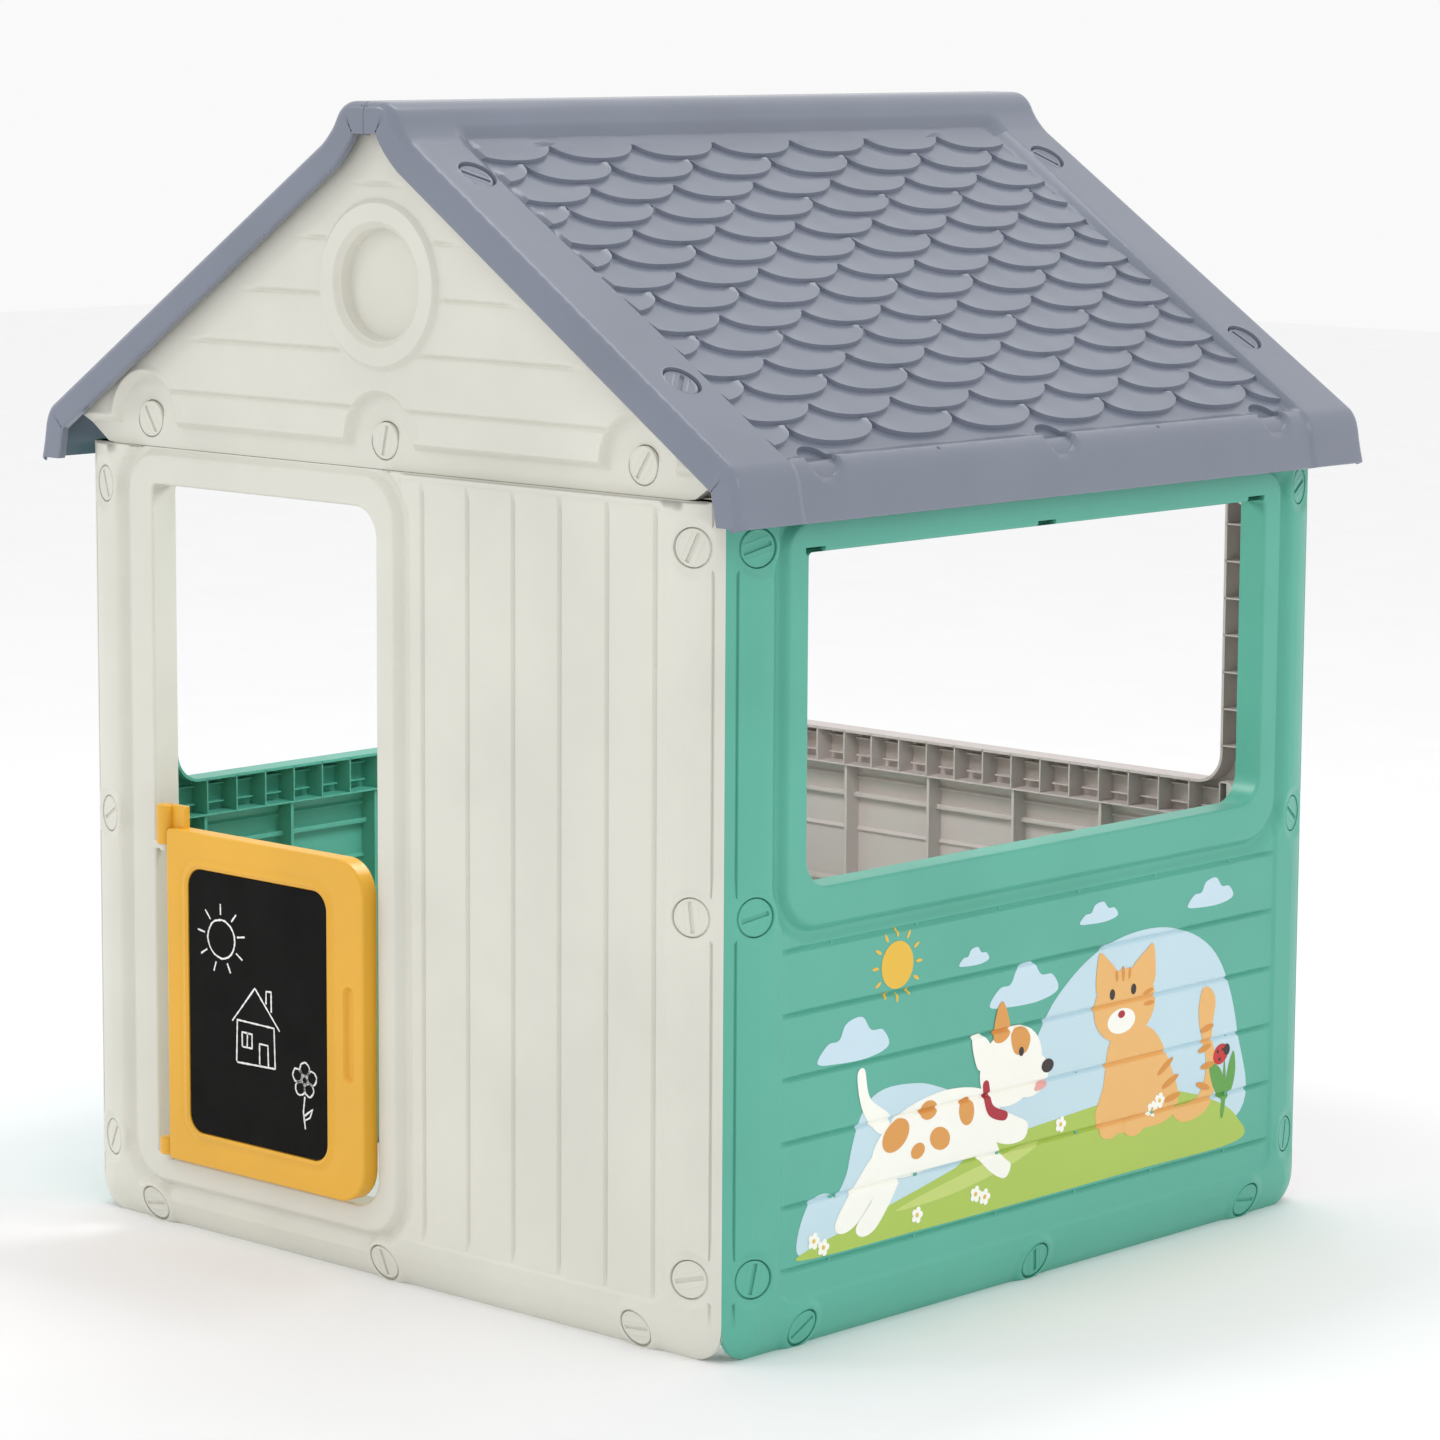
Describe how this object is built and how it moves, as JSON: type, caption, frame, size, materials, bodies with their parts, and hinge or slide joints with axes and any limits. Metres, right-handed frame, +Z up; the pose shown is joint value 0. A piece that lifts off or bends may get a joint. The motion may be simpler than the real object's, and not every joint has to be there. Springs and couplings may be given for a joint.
{
  "type": "plastic playhouse",
  "caption": "Child's plastic garden playhouse with a pitched roof, wide windows and a hinged half door with a blackboard.",
  "frame": {"origin": "on the ground at the middle of the house's footprint", "axes": "+Z up, the door wall faces -Y, +X to the right when facing the door"},
  "size_m": [1.15, 1.114, 1.353],
  "materials": {
    "cream_plastic": "satin moulded plastic",
    "green_plastic": "satin moulded plastic",
    "taupe_plastic": "satin moulded plastic",
    "grey_plastic": "glossy moulded plastic",
    "yellow_plastic": "satin moulded plastic",
    "blackboard": "matt writing surface",
    "picture_film": "printed film",
    "inner_plastic": "plain moulded plastic"
  },
  "bodies": {
    "house": {"front_wall": "cream_plastic", "rear_wall": "taupe_plastic", "right_wall": "green_plastic", "left_wall": "green_plastic", "front_gable": "cream_plastic", "rear_gable": "cream_plastic", "roof_right": "grey_plastic", "roof_left": "grey_plastic", "top_hinge_peg": "cream_plastic", "low_hinge_peg": "cream_plastic", "right_wall_picture": "picture_film", "front_right_corner_blocks": "inner_plastic", "rear_right_corner_blocks": "inner_plastic", "rear_left_corner_blocks": "inner_plastic", "front_left_corner_blocks": "inner_plastic", "front_wall_screws": "cream_plastic", "front_foot_nuts": "inner_plastic", "right_wall_screws": "green_plastic", "right_foot_nuts": "inner_plastic", "rear_wall_screws": "taupe_plastic", "rear_foot_nuts": "inner_plastic", "left_wall_screws": "green_plastic", "left_foot_nuts": "inner_plastic", "front_gable_screws": "cream_plastic", "front_gable_nuts": "inner_plastic", "rear_gable_screws": "cream_plastic", "rear_gable_nuts": "inner_plastic", "roof_right_screws": "grey_plastic", "roof_right_nuts": "inner_plastic", "roof_left_screws": "grey_plastic", "roof_left_nuts": "inner_plastic"},
    "door": {"door_panel": "yellow_plastic", "door_blackboard": "blackboard"}
  },
  "joints": [
    {"name": "door_hinge", "type": "hinge", "parent": "house", "child": "door", "pos_m": [-0.364, -0.544, 0.3], "axis": [0, 0, -1], "range_deg": [0, 120]}
  ]
}
